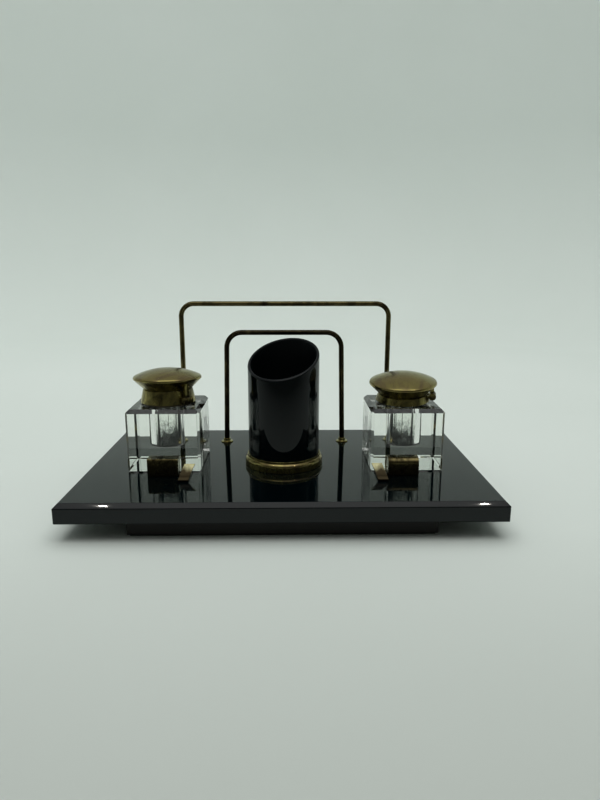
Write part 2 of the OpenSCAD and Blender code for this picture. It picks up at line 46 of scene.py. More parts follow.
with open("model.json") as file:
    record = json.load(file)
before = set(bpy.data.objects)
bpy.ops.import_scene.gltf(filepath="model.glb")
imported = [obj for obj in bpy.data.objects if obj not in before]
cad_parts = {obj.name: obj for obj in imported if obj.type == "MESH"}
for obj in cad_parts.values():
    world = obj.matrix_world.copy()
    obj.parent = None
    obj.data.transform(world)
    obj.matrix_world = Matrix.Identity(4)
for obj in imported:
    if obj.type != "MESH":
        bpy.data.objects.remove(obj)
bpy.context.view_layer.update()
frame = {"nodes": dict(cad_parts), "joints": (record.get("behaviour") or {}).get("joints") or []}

SIDES = ("left", "right")
CAMERA_PLACE = (0.0043, -0.4275, 0.1667)  # metres
CAMERA_TURN = (77.31, -0.0683, -0.9946)  # degrees
SENSOR_WIDTH = 36  # millimetres


# ---- small helpers ----


def mm(value):
    """Millimetres to metres."""
    return value / 1000


def srgb(code):
    """An sRGB hex colour as linear red, green, blue and alpha."""
    parts = [int(code[i : i + 2], 16) / 255 for i in (1, 3, 5)]
    line = [p / 12.92 if p <= 0.04045 else ((p + 0.055) / 1.055) ** 2.4 for p in parts]
    return (*line, 1.0)


FIT = mm(0.05)  # Air between parts that fit into each other.


def number(name, description, value, **kind):
    """A plain number property."""
    return FloatProperty(name=name, description=description, default=value, **kind)


def length(name, description, value):
    """A length property, from millimetres."""
    return number(name, description, mm(value), unit="LENGTH", precision=5)


def angle(name, description, value):
    """An angle property, from degrees."""
    return number(name, description, math.radians(value), subtype="ANGLE")


def power(name, description, value):
    """A lamp's power property, in watts."""
    return number(name, description, value, unit="POWER")


def colour(name, description, code):
    """A colour property, from an sRGB hex value."""
    kind = {"size": 4, "subtype": "COLOR"}
    return FloatVectorProperty(name=name, description=description, default=srgb(code), **kind)


def joint_frame(side, sizes):
    """Frame of a collar and its lid: origin at the collar's foot, hinge out along +X."""
    joint = next(j for j in frame["joints"] if j["name"] == "open_lid_" + side)
    spin = Matrix.Rotation(-getattr(sizes, "side_" + side), 4, "Y")
    spin = spin @ Matrix.Rotation(getattr(sizes, "front_" + side), 4, "X")
    spin = spin @ Matrix.Rotation(-getattr(sizes, "turn_" + side), 4, "Z")
    foot = Vector(joint["pos_m"]) - spin @ Vector((sizes.hinge_out, 0, sizes.hinge_up))
    return Matrix.Translation(foot) @ spin


# ---- settings ----


class SlabSettings(bpy.types.PropertyGroup):
    """Slab, plinth and felt."""

    bevel: length("Bevel", "Width of the bevel round the slab's top", 2.8)
    arris: length("Arris", "Width of the fine arris round the slab's foot", 0.5)
    edge_round: length("Edge round", "Rounding that polishing leaves on the slab's edges", 0.3)
    plinth_round: length("Plinth round", "Rounding of the plinth's edges", 0.6)
    felt_round: length("Felt round", "Rounding of the felt's cut edge", 0.4)


class WellSettings(bpy.types.PropertyGroup):
    """Crystal inkwells and the cement under their collars."""

    top_bevel: length("Top bevel", "Bevel round the block's top", 2.6)
    side_bevel: length("Side bevel", "Bevel on the block's upright edges", 1.8)
    foot_bevel: length("Foot bevel", "Bevel round the block's foot", 1.0)
    edge_round: length("Edge round", "Rounding that polishing leaves between the facets", 0.18)
    height: length("Block height", "Height of the block without its neck", 44.2)
    neck_radius: length("Neck radius", "Outer radius of the neck", 15.0)
    bore_radius: length("Bore radius", "Radius of the ink bore", 12.5)
    bore_floor: length("Bore floor", "Crystal left under the ink bore", 15.0)
    bore_fillet: length("Bore fillet", "Round at the bottom of the bore", 2.0)


class LidSettings(bpy.types.PropertyGroup):
    """Collars, hinges and lids."""

    collar_left: length("Left collar", "Height of the left collar", 9.4)
    collar_right: length("Right collar", "Height of the right collar", 4.7)
    front_left: angle("Left front lean", "Lean of the left collar towards the front", -1.5)
    front_right: angle("Right front lean", "Lean of the right collar towards the front", 5.5)
    side_left: angle("Left side lean", "Lean of the left collar towards the left", 0.0)
    side_right: angle("Right side lean", "Lean of the right collar towards the left", 1.5)
    turn_left: angle("Left hinge", "Where the left hinge stands, forward of due right", 42.0)
    turn_right: angle("Right hinge", "Where the right hinge stands, forward of due right", 13.0)
    collar_top: length("Collar top", "Outer radius of a collar's top", 17.5)
    collar_foot: length("Collar foot", "Outer radius of a collar's foot", 19.6)
    collar_bore: length("Collar bore", "Inner radius of a collar", 15.8)
    hinge_out: length("Hinge distance", "Distance of the hinge pin from the collar's axis", 21.2)
    hinge_up: length("Hinge height", "Height of the hinge pin above the collar's foot", 3.2)
    knuckle_radius: length("Knuckle radius", "Radius of the hinge knuckles", 2.6)
    knuckle_room: length("Knuckle room", "Air round the lid's knuckle in the collar", 0.25)
    outer_knuckle: length("Collar knuckle", "Width of each of a collar's two knuckles", 2.4)
    lid_knuckle: length("Lid knuckle", "Width of a lid's knuckle", 2.8)
    knuckle_gap: length("Knuckle gap", "Side gap between knuckles", 0.2)
    pin_radius: length("Pin radius", "Radius of the hinge pin", 1.0)
    seat_gap: length("Seat gap", "Air between a closed lid and its collar", 0.25)
    neck_radius: length("Lid neck", "Radius of a lid where it meets its collar", 17.0)
    rim_radius: length("Rim radius", "Radius of a lid's rim", 24.2)
    rim_bead: length("Rim bead", "Radius of the bead rolled round the rim", 0.7)
    cone_height: length("Cone height", "Height of a lid's cone from collar to rim", 7.4)
    dome_height: length("Dome height", "Rise of a lid's dome above its rim", 7.0)
    shoulder: length("Shoulder", "Radius of the round shoulder between dome and rim", 2.0)
    wall: length("Wall", "Thickness of the spun brass", 1.2)


class CupSettings(bpy.types.PropertyGroup):
    """Pen cup and its moulding."""

    radius: length("Radius", "Outer radius of the tube", 25.5)
    wall: length("Wall", "Wall of the tube", 2.2)
    middle_height: length("Middle height", "Height of the rim at the axis above the slab", 77.0)
    slant: angle("Slant", "Slant of the rim", 25.0)
    slant_turn: angle("Slant turn", "Turn of the rim's high side from the back to the right", 20.0)
    lip_round: length("Lip round", "Rounding of the rim's inner and outer edge", 1.0)
    moulding_height: length("Moulding height", "Height of the brass moulding round the foot", 8.0)
    moulding_out: length("Moulding", "How far the moulding's foot stands out from the tube", 2.6)
    moulding_round: length("Moulding round", "Radius of the moulding's shoulder", 3.0)
    band_out: length("Band", "Thickness of the narrow band on top of the moulding", 1.0)
    band_height: length("Band height", "Height of the narrow band on top of the moulding", 1.2)
    floor: length("Floor", "Thickness of the moulding's brass floor", 2.0)
    pad: length("Felt disc", "Thickness of the felt disc in the cup", 2.8)


class HoopSettings(bpy.types.PropertyGroup):
    """Letter hoops and their ferrules."""

    rod_radius: length("Rod radius", "Radius of the brass rod", 2.0)
    stud_radius: length("Stud radius", "Radius of the threaded foot", 1.45)
    front_bend: length("Front bend", "Bend radius of the front hoop", 12.0)
    rear_bend: length("Rear bend", "Bend radius of the rear hoop", 10.5)
    front_lean: angle("Front lean", "Lean of the front hoop's legs towards each other", 1.2)
    rear_lean: angle("Rear lean", "Lean of the rear hoop's legs towards each other", 0.0)
    ferrule_radius: length("Ferrule radius", "Radius of the ferrule's plate at each foot", 4.8)
    ferrule_plate: length("Ferrule plate", "Thickness of the ferrule's plate", 0.9)
    ferrule_height: length("Ferrule height", "Height of each ferrule with its neck", 3.2)
    ferrule_wall: length("Ferrule wall", "Wall of the ferrule's neck", 0.8)


class RestSettings(bpy.types.PropertyGroup):
    """Pen rests."""

    block_round: length("Block round", "Worn rounding of the block's edges", 0.6)
    nose_left: length("Left nose", "Rounding of the left block's upper front edge", 1.0)
    nose_right: length("Right nose", "Rounding of the right block's upper front edge", 4.6)
    leaf_round: length("Leaf round", "Rounding of the leaf's edges", 0.2)
    leaf_thickness: length("Leaf thickness", "Thickness of the foot plate and leaf", 1.0)
    leaf_width: length("Leaf width", "Width of the leaf", 7.0)
    leaf_length: length("Leaf length", "Length of the leaf up its slope", 12.0)
    leaf_rise: angle("Leaf rise", "Slope of the leaf", 45.0)
    leaf_slant: length("Leaf slant", "How far the leaf slants towards the centre line", 3.5)
    leaf_arch: length("Leaf arch", "How far the leaf's middle bows out in front", 0.7)
    fold: length("Fold", "Radius of the fold at the leaf's foot", 1.0)


class FinishSettings(bpy.types.PropertyGroup):
    """Colours of the finishes."""

    black_glass: colour("Black glass", "Body colour of the opaque black glass", "#010a0e")
    crystal: colour("Crystal", "Tint of the crystal", "#f8faf6")
    # Painted highlight: the pale brass of the leaves' tips.
    brass_worn: colour("Worn brass", "Brass where pens rub it every day", "#aeab8a")
    brass_bright: colour("Bright brass", "Brass where hands keep it polished", "#9b9261")
    brass_brown: colour("Brown brass", "Brass under its first brown age", "#7d6e55")
    brass_olive: colour("Olive brass", "Duller brass on rods and collars", "#776e4e")
    brass_dark: colour("Dark brass", "Deep brown in corners and on rods", "#3d372a")
    wood: colour("Ebonised wood", "Black-stained wood of the plinth", "#0f0c0a")
    wood_grain: colour("Wood grain", "Paler open grain of the plinth", "#1f1914")
    felt: colour("Felt", "Wool felt", "#20302a")
    plaster: colour("Cement", "Fixing plaster in the neck joints", "#8d8470")
    steel: colour("Steel", "Turned steel of the fixings", "#8f908c")
    paper: colour("Sweep", "Pale paper of the sweep", "#e2e8e5")
    # Painted shade: the colour the sweep darkens to in front of the object.
    front_painted_shade: colour("Front sweep", "Darker paper in front of the object", "#7d7e77")


class StageSettings(bpy.types.PropertyGroup):
    """Camera, lights and sweep."""

    floor_radius: length("Floor radius", "Radius of the flat floor", 950.0)
    wall_radius: length("Wall radius", "Radius of the upright wall of the sweep", 1500.0)
    wall_height: length("Wall height", "Height of the sweep's wall", 1100.0)
    lens: number("Lens", "Focal length of the camera in millimetres", 27.05)
    spot_power: power("Lamp", "Power of each small bare lamp in front overhead", 0.22)
    spot_size: length("Lamp size", "Width of each small bare lamp", 12.0)
    soft_power: power("Softbox", "Power of the large soft light overhead", 7.0)
    wash_power: power("Wash", "Power of the soft light on the back of the sweep", 1.3)
    room: number("Room", "Brightness of the sky over the sweep", 0.36)
    room_front: number("Room front", "Brightness of the sky in front", 0.28)
    glow: number("Ceiling glow", "Brightness of the lit ceiling overhead", 0.75)


# ---- mesh helpers ----


def rounded(corners, steps=5):
    """A closed outline through (x, y, radius) corners, with each corner turned in an arc."""
    points = []
    count = len(corners)
    for i, (x, y, radius) in enumerate(corners):
        here = Vector((x, y))
        if radius <= 0:
            points.append(here)
            continue
        before = Vector(corners[i - 1][:2]) - here
        after = Vector(corners[(i + 1) % count][:2]) - here
        half = before.angle(after) / 2
        reach = min(radius / math.tan(half), before.length * 0.49, after.length * 0.49)
        radius = reach * math.tan(half)
        before, after = before.normalized(), after.normalized()
        start, end = here + before * reach, here + after * reach
        middle = here + (before + after).normalized() * (radius / math.sin(half))
        a, b = start - middle, end - middle
        sweep = a.angle(b)
        for step in range(steps + 1):
            t = step / steps
            mix = (a * math.sin((1 - t) * sweep) + b * math.sin(t * sweep)) / math.sin(sweep)
            points.append(middle + mix)
    return [(p.x, p.y) for p in points]


def arc(cx, cy, radius, start, end, steps):
    """Points on a circle from one angle to another, in degrees."""
    angles = [math.radians(start + (end - start) * i / steps) for i in range(steps + 1)]
    return [(cx + radius * math.cos(a), cy + radius * math.sin(a)) for a in angles]


def join_rings(bm, rings, closed):
    """Faces between rings of vertices, in order. A ring of one vertex closes an end."""
    pairs = list(zip(rings, rings[1:]))
    if closed:
        pairs.append((rings[-1], rings[0]))
    for low, high in pairs:
        for i in range(max(len(low), len(high))):
            turns = ((low, i), (low, i + 1), (high, i + 1), (high, i))
            corners = list(dict.fromkeys(ring[k % len(ring)] for ring, k in turns))
            if len(corners) > 2:
                bm.faces.new(corners)
    return bm


def lathe(outline, sides=144, closed=True):
    """Turns (radius, height) points about the Z axis. A height may be a function of x and y."""
    bm, rings = bmesh.new(), []
    turns = [2 * math.pi * i / sides for i in range(sides)]
    for radius, height in outline:
        around = [(radius * math.cos(a), radius * math.sin(a)) for a in turns]
        if radius < 1e-7:
            around = [(0, 0)]
        lift = height if callable(height) else lambda x, y, z=height: z
        rings.append([bm.verts.new((x, y, lift(x, y))) for x, y in around])
    return join_rings(bm, rings, closed)


def rod(path, radii, sides=28):
    """A round rod along a path square to the Y axis, with closed ends."""
    bm, side, rings = bmesh.new(), Vector((0, 1, 0)), []
    for i, point in enumerate(path):
        run = path[min(i + 1, len(path) - 1)] - path[max(i - 1, 0)]
        across = side.cross(run.normalized()).normalized()
        ring = []
        for k in range(sides):
            a = 2 * math.pi * k / sides
            spoke = across * math.cos(a) + side * math.sin(a)
            ring.append(bm.verts.new(point + spoke * radii[i]))
        rings.append(ring)
    join_rings(bm, rings, False)
    bm.faces.new(rings[0])
    bm.faces.new(list(reversed(rings[-1])))
    return bm


def slice_off(bm, point, normal):
    """Cuts a closed convex mesh with a plane and closes the cut."""
    geometry = bm.verts[:] + bm.edges[:] + bm.faces[:]
    cut = bmesh.ops.bisect_plane(
        bm, geom=geometry, plane_co=point, plane_no=Vector(normal).normalized(), clear_outer=True
    )
    edges = [e for e in cut["geom_cut"] if isinstance(e, bmesh.types.BMEdge)]
    if edges:
        bmesh.ops.edgeloop_fill(bm, edges=edges)


def box_mesh(low, high):
    """A closed box between two corners."""
    bm = bmesh.new()
    size, middle = Vector(high) - Vector(low), (Vector(high) + Vector(low)) / 2
    place = Matrix.Translation(middle) @ Matrix.Diagonal((*size, 1))
    bmesh.ops.create_cube(bm, size=1, matrix=place)
    return bm


def faceted_block(low, high, top, foot, upright):
    """A block with flat bevels round its top, its foot and its upright edges."""
    bm = box_mesh(low, high)
    for axis in (0, 1):
        for sign, face in ((-1, low), (1, high)):
            for cut, z, up in ((top, high[2], 1), (foot, low[2], -1)):
                if cut > 0:
                    point, normal = [0, 0, z - up * cut], [0, 0, up]
                    point[axis], normal[axis] = face[axis], sign
                    point[1 - axis] = (low[1 - axis] + high[1 - axis]) / 2
                    slice_off(bm, point, normal)
    if upright > 0:
        for x, sx in ((low[0], -1), (high[0], 1)):
            for y, sy in ((low[1], -1), (high[1], 1)):
                slice_off(bm, (x - sx * upright, y, low[2]), (sx, sy, 0))
    return bm


def ease_edges(bm, width, segments=2, over=20):
    """Rounds the edges whose faces meet at more than an angle in degrees, inside their box."""
    low = Vector([min(v.co[i] for v in bm.verts) for i in range(3)])
    high = Vector([max(v.co[i] for v in bm.verts) for i in range(3)])
    edges = [e for e in bm.edges if e.is_manifold and e.calc_face_angle(0) > math.radians(over)]
    bmesh.ops.bevel(
        bm, geom=edges, offset=width, offset_type="OFFSET", segments=segments, profile=0.5,
        affect="EDGES", clamp_overlap=True,
    )
    for v in bm.verts:
        v.co = [min(max(v.co[i], low[i]), high[i]) for i in range(3)]


def swept_strip(outline, low, high):
    """A closed solid from an outline of (y, z, shift), run along X from low to high."""
    bm = bmesh.new()
    near = [bm.verts.new((low + shift, y, z)) for y, z, shift in outline]
    far = [bm.verts.new((high + shift, y, z)) for y, z, shift in outline]
    bm.faces.new(near)
    bm.faces.new(list(reversed(far)))
    for i in range(len(near)):
        j = (i + 1) % len(near)
        bm.faces.new((near[j], near[i], far[i], far[j]))
    return bm


def merge(bm, other):
    """Adds another mesh to this one and frees it."""
    scrap = bpy.data.meshes.new("scrap")
    other.to_mesh(scrap)
    other.free()
    bm.from_mesh(scrap)
    bpy.data.meshes.remove(scrap)
    return bm


def combine(base, tool, operation):
    """Exact union or difference of two closed meshes."""
    base, tool = (new_object("scrap", bm) for bm in (base, tool))
    cut = base.modifiers.new("cut", "BOOLEAN")
    cut.object, cut.operation, cut.solver = tool, operation, "EXACT"
    result = bmesh.new()
    result.from_object(base, bpy.context.evaluated_depsgraph_get())
    for item in (base, tool):
        mesh = item.data
        bpy.data.objects.remove(item)
        bpy.data.meshes.remove(mesh)
    return result


def new_object(name, bm, *materials):
    """A smooth-shaded object from a mesh, which it frees."""
    bmesh.ops.recalc_face_normals(bm, faces=bm.faces[:])
    mesh = bpy.data.meshes.new(name)
    bm.to_mesh(mesh)
    bm.free()
    mesh.polygons.foreach_set("use_smooth", [True] * len(mesh.polygons))
    for material in materials:
        mesh.materials.append(material)
    item = bpy.data.objects.new(name, mesh)
    bpy.context.scene.collection.objects.link(item)
    return item


def add_piece(name, bm, body, material, nodes, place=None, smooth=32, flat=False):
    """Makes a piece of the object: it rides on a body and stands for CAD nodes."""
    # flat keeps the large faces' reflections straight beside eased edges.
    piece = new_object(name, bm, material)
    mesh = piece.data
    mesh.set_sharp_from_angle(angle=math.radians(smooth))
    if flat:
        even = piece.modifiers.new("even", "WEIGHTED_NORMAL")
        even.mode, even.weight, even.keep_sharp = "FACE_AREA", 100, True
        graph = bpy.context.evaluated_depsgraph_get()
        piece.data = bpy.data.meshes.new_from_object(piece.evaluated_get(graph), depsgraph=graph)
        piece.modifiers.clear()
        bpy.data.meshes.remove(mesh)
        piece.data.name = name
    if place is not None:
        piece.matrix_world = place
    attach(piece, body)
    if nodes:
        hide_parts(*nodes)
    return piece


def add_brass(name, bm, body, kind, *nodes, place=None, flat=False):
    """Makes a piece in one of the brasses of the table."""
    return add_piece(name, bm, body, brass(kind), nodes, place, flat=flat)


def second_finish(piece, material, test):
    """Gives another finish to the faces whose middle passes a test."""
    piece.data.materials.append(material)
    for face in piece.data.polygons:
        face.material_index = int(test(face.center))


def foot_of(low, high):
    """Middle of a box's foot."""
    return Vector(((low.x + high.x) / 2, (low.y + high.y) / 2, low.z))


# ---- finishes ----


def add_node(tree, kind, inputs=None, **attributes):
    """Adds a node with its attributes. Each input takes a value or another node's output."""
    node = tree.nodes.new(kind)
    for key, value in attributes.items():
        setattr(node, key, value)
    for key, value in (inputs or {}).items():
        if isinstance(value, bpy.types.NodeSocket):
            tree.links.new(value, node.inputs[key])
        else:
            node.inputs[key].default_value = value
    return node


class Finish:
    """A material while it is built. Each method adds a node and gives its output."""

    def __init__(self, tree, space="Object"):
        self.tree, self.colours = tree, bpy.context.scene.inkstand_finish
        self.where = add_node(tree, "ShaderNodeTexCoord").outputs[space]

    def node(self, output, kind, inputs, **attributes):
        return add_node(self.tree, "ShaderNode" + kind, inputs, **attributes).outputs[output]

    def stretch(self, scale):
        return self.node("Vector", "Mapping", {"Scale": scale, "Vector": self.where})

    def noise(self, scale, detail, roughness=0.5, distortion=0.0, vector=None):
        inputs = {"Scale": scale, "Detail": detail, "Roughness": roughness}
        inputs |= {"Distortion": distortion, "Vector": vector or self.where}
        return self.node("Fac", "TexNoise", inputs)

    def ramp(self, value, start=0.0, end=1.0, low=0.0, high=1.0, curve="LINEAR"):
        inputs = {"Value": value, "From Min": start, "From Max": end, "To Min": low, "To Max": high}
        return self.node("Result", "MapRange", inputs, interpolation_type=curve)

    def math(self, operation, *values):
        return self.node("Value", "Math", dict(enumerate(values)), operation=operation)

    def mix(self, share, first, second):
        return self.node(2, "Mix", {0: share, 6: first, 7: second}, data_type="RGBA")

    def part(self, axis):
        return self.node(axis, "SeparateXYZ", {"Vector": self.where})

    def vector_math(self, output, operation, *values):
        return self.node(output, "VectorMath", dict(enumerate(values)), operation=operation)

    def from_axis(self):
        """Distance from the piece's upright axis."""
        flat = self.vector_math("Vector", "MULTIPLY", self.where, (1, 1, 0))
        return self.vector_math("Value", "LENGTH", flat)

    def bump(self, height, strength, distance):
        inputs = {"Height": height, "Strength": strength, "Distance": distance}
        return self.node("Normal", "Bump", inputs)


def finish(name, build, *settings):
    """The material of this name, made on its first use from what build gives its shader."""
    known = bpy.data.materials.get(name)
    if known:
        return known
    material = bpy.data.materials.new(name)
    material.use_nodes = True
    tree = material.node_tree
    tree.nodes.clear()
    shader = add_node(tree, "ShaderNodeBsdfPrincipled", build(Finish(tree), *settings))
    add_node(tree, "ShaderNodeOutputMaterial", {"Surface": shader.outputs["BSDF"]})
    return material


def black_glass(f, ior):
    """Opaque black glass with the soft unevenness of wiping and a little dust."""
    # Wiping leaves streaks about 40 mm long and 9 mm apart along the slab.
    wiped = f.noise(1.0, 5.0, 0.6, 0.4, f.stretch((25, 110, 110)))
    # Dust specks a few tenths of a millimetre wide, 3 mm apart.
    inputs = {"Scale": 330.0, "Randomness": 1.0, "Vector": f.where}
    dust = f.node("Distance", "TexVoronoi", inputs, feature="F1")
    speck = f.ramp(dust, 0.05, 0.09, 1.0, 0.0)
    gloss = f.ramp(wiped, 0.35, 0.75, 0.02, 0.07)
    return {
        "IOR": ior,
        "Roughness": f.math("MULTIPLY_ADD", speck, 0.25, gloss),
        "Base Color": f.mix(speck, f.colours.black_glass, srgb("#2b2f2e")),
    }


def polished_black_glass():
    """Slab: opaque black glass, ground flat and polished."""
    # It gives the eye a deep mirror that is faint seen square-on and strong at a glance.
    return finish("polished_black_glass", black_glass, 1.5)


def handled_black_glass():
    """Outside of the pen cup: the same black glass under a thin film from handling."""
    # It gives the eye the slab's mirror a little weaker, because the film takes off some shine.
    return finish("handled_black_glass", black_glass, 1.43)


def moulded_black_glass():
    """Inside of the pen cup: black glass as the mould left it, never polished."""

    # It gives the eye a deep dull black with ripples 5 mm apart that hardly catch the light.
    def build(f):
        ripple = f.noise(200.0, 2.0)
        rough, bump = f.ramp(ripple, low=0.35, high=0.6), f.bump(ripple, 0.4, 0.0002)
        return {"IOR": 1.3, "Base Color": f.colours.black_glass, "Roughness": rough, "Normal": bump}

    return finish("moulded_black_glass", build)


def cut_crystal(wells):
    """Clear crystal, ground to facets and polished, its bore's wall greyer towards the floor."""

    # It gives the eye clear blocks with bright and dark edges, where the faces are flat but not
    # dead flat, and a bore whose wall turns grey in mottles towards its floor.
    def build(f):
        # Hand polishing leaves swells about 14 mm across.
        bump = f.bump(f.noise(70.0, 1.0), 0.25, 0.0002)
        rough = f.ramp(f.noise(160.0, 4.0), 0.45, 0.75, 0.0, 0.05)
        # Darker grey on the bore's wall alone, mottled at 3 mm, strongest at the floor and fading
        # out about 22 mm above it.
        inside = f.math("LESS_THAN", f.from_axis(), wells.bore_radius + mm(0.1))
        level = f.ramp(f.part("Z"), wells.bore_floor + mm(22), wells.bore_floor + mm(1))
        bore_darkening = f.math("MULTIPLY_ADD", level, 0.55, f.noise(330.0, 5.0, 0.7))
        stain = f.ramp(bore_darkening, 0.62, 0.98, 0.0, 0.85, "SMOOTHSTEP")
        tint = f.mix(f.math("MULTIPLY", stain, inside), f.colours.crystal, srgb("#3f4446"))
        return {
            "Transmission Weight": 1.0, "IOR": 1.52,
            "Base Color": tint, "Roughness": rough, "Normal": bump,
        }

    return finish("cut_and_polished_crystal", build)


# Each brass has its material's name, its clean and its browned colour, whether its marks run
# round the piece's axis, how far it has browned, its lowest and highest roughness, the spacing of
# its marks in millimetres and, on the leaves, the heights between which it turns from a painted
# highlight at the tip to painted shade at the foot.
BRASS = {
    # Domes of the lids, spun over a former and handled bright. It gives the eye a soft olive-gold
    # sheen with fine rings, drawn coarser than a spinning tool leaves, so that they show.
    "spun": ("spun_and_handled_brass", "bright", "brown", True, 0.42, (0.16, 0.3), 0.9),
    # Collars, hinges and the plates under the lids, turned and left to brown. The same brass is
    # painted shade on the cone under each lid's rim and on the upright foot and band of the cup's
    # moulding. It gives the eye a near-black brown that breaks into gold.
    "browned": ("turned_and_browned_brass", "bright", "dark", True, 0.34, (0.2, 0.38), 0.6),
    # Ferrules and the cup's moulding, turned from bar and wiped clean. It gives the eye bright
    # bands on the round parts and dark ones on the upright parts, which on the moulding are painted
    # shade in the browned brass.
    "turned": ("turned_and_wiped_brass", "bright", "brown", True, 0.4, (0.07, 0.16), 0.6),
    # Hoops of drawn rod, browned where fingers don't reach, and most on the front hoop. It gives
    # the eye a dark olive line with golden glints along the bends.
    "front": ("front_drawn_brass_rod", "olive", "dark", False, 0.85, (0.14, 0.3), 0.5),
    "rear": ("rear_drawn_brass_rod", "olive", "dark", False, 0.42, (0.14, 0.3), 0.5),
    # Leaves of the pen rests, cut from strip and filed. It gives the eye a pale tip that turns
    # olive towards the foot: a painted highlight at the tip and painted shade at the foot.
    "filed": ("filed_and_worn_brass", "worn", "dark", False, 0.45, (0.14, 0.3), 0.4, (29, 35)),
    # Blocks of the pen rests, sawn from bar and polished. It gives the eye olive tops and
    # near-black fronts.
    "sawn": ("sawn_and_browned_brass", "olive", "dark", False, 0.55, (0.18, 0.36), 0.5),
}


def aged_brass(f, clean, browned, turned, brown, rough, mark, worn=None):
    """Brass with its age: brown patina over polished metal, marked by how it was made."""
    tones = [getattr(f.colours, "brass_" + tone) for tone in (clean, browned)]
    # Patina lies in streaks about 20 mm long and 7 mm wide, broken up at 2 mm.
    patch = f.noise(1.0, 6.0, 0.6, 0.5, f.stretch((140, 50, 90)))
    spread = brown * 0.42
    patina = f.ramp(patch, 0.56 - spread, 0.9 - spread, curve="SMOOTHSTEP")
    # On the leaves, worn holds the heights of a painted highlight that pales the brass towards the
    # tip and of painted shade that browns it towards the foot.
    if worn:
        foot = f.ramp(f.part("Z"), mm(worn[0]), mm(worn[1]), 1.2, -0.2)
        patina = f.ramp(f.math("MULTIPLY_ADD", patina, 0.5, foot), 0.15)
    # Pits and fly specks, 1.2 mm apart.
    pits = f.noise(800.0, 3.0, 0.7)
    if turned:
        inputs = {"Scale": 1 / mm(mark), "Detail": 2.0, "W": f.from_axis()}
        lines = f.node("Fac", "TexNoise", inputs, noise_dimensions="1D")
    else:
        # Drawn or filed marks run along X and Z and change fast across them.
        lines = f.noise(1.0, 3.0, vector=f.stretch((40, 1 / mm(mark), 40)))
    dark = f.math("MULTIPLY", f.ramp(pits, 0.6, 0.74), 0.5)
    return {
        "Metallic": 1.0,
        "Base Color": f.mix(dark, f.mix(patina, *tones), f.colours.brass_dark),
        "Roughness": f.ramp(patch, 0.25, 0.75, *rough),
        "Normal": f.bump(f.math("MULTIPLY_ADD", pits, 0.5, lines), 0.3, 0.00005),
    }


def brass(kind):
    """One of the brasses in the table."""
    name, *settings = BRASS[kind]
    return finish(name, aged_brass, *settings)


def ebonised_wood():
    """Plinth: close-grained hardwood stained black and waxed."""

    # It gives the eye a satin near-black with open grain 0.7 mm wide running along the plinth.
    def build(f):
        grain = f.noise(1.0, 6.0, 0.65, 0.8, f.stretch((45, 1400, 1400)))
        return {
            "IOR": 1.45,
            "Base Color": f.mix(f.ramp(grain, 0.52, 0.68), f.colours.wood, f.colours.wood_grain),
            "Roughness": f.ramp(grain, low=0.36, high=0.6),
            "Normal": f.bump(grain, 0.5, 0.00008),
        }

    return finish("stained_and_waxed_hardwood", build)


def pressed_felt():
    """Felt under the plinth and in the cup: pressed wool."""

    # It gives the eye a matt nap of tangled fibres, drawn 0.5 mm wide, which is coarser than
    # wool, so that they show, with a soft sheen at its cut edge.
    def build(f):
        nap = f.noise(2000.0, 5.0, 0.75, 2.5)
        share = f.math("MULTIPLY", nap, f.noise(60.0, 2.0))
        return {
            "Roughness": 0.95, "Sheen Weight": 0.35, "Sheen Roughness": 0.5,
            "Base Color": f.mix(share, srgb("#131d19"), f.colours.felt),
            "Normal": f.bump(nap, 0.8, 0.0003),
        }

    return finish("pressed_wool_felt", build)


def fixing_plaster():
    """Joint between crystal and collar: fixing plaster, troweled and yellowed."""

    # It gives the eye a chalky line with grit 0.4 mm across.
    def build(f):
        body = f.mix(f.noise(180.0, 3.0), f.colours.plaster, srgb("#6f6450"))
        grit = f.bump(f.noise(2500.0, 4.0), 0.6, 0.0002)
        return {"Roughness": 0.85, "Base Color": body, "Normal": grit}

    return finish("yellowed_fixing_plaster", build)


def turned_steel():
    """Screws, nuts and washers: turned steel with a dull film of oil."""

    # It gives the eye grey metal with tool rings 0.4 mm apart and brown stains.
    def build(f):
        stain = f.noise(400.0, 4.0)
        inputs = {"Scale": 400.0, "Distortion": 1.0, "Vector": f.where}
        rings = f.node("Fac", "TexWave", inputs, bands_direction="Z")
        return {
            "Metallic": 1.0,
            "Base Color": f.mix(f.ramp(stain, 0.58, 0.75), f.colours.steel, srgb("#5d4a38")),
            "Roughness": f.ramp(stain, low=0.25, high=0.5),
            "Normal": f.bump(rings, 0.3, 0.00004),
        }

    return finish("turned_and_oiled_steel", build)


def sweep_paper():
    """Studio sweep: matt pale paper, darkened in front of the object as painted shade."""

    # It gives the eye a plain pale ground; its front part is painted shade on the floor in front
    # of the object, which the glass also mirrors.
    def build(f):
        pale = f.mix(f.noise(3.0, 3.0), f.colours.paper, srgb("#dce3df"))
        # Painted shade: the paper darkens from 70 mm to 800 mm in front of the object's middle.
        front = f.ramp(f.part("Y"), -0.07, -0.8)
        return {"Roughness": 0.9, "Base Color": f.mix(front, pale, f.colours.front_painted_shade)}

    return finish("matt_studio_paper", build)


# ---- pieces ----


class INKSTAND_OT_slab(bpy.types.Operator):
    """Black glass slab with its bevelled edge."""

    bl_idname = "inkstand.slab"
    bl_label = "Glass slab"

    def execute(self, context):
        sizes = context.scene.inkstand_slab
        bm = faceted_block(*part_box("base_slab"), sizes.bevel, sizes.arris, 0)
        ease_edges(bm, sizes.edge_round)
        glass = polished_black_glass()
        add_piece("glass_slab", bm, "stand", glass, ["base_slab"], flat=True)
        return {"FINISHED"}


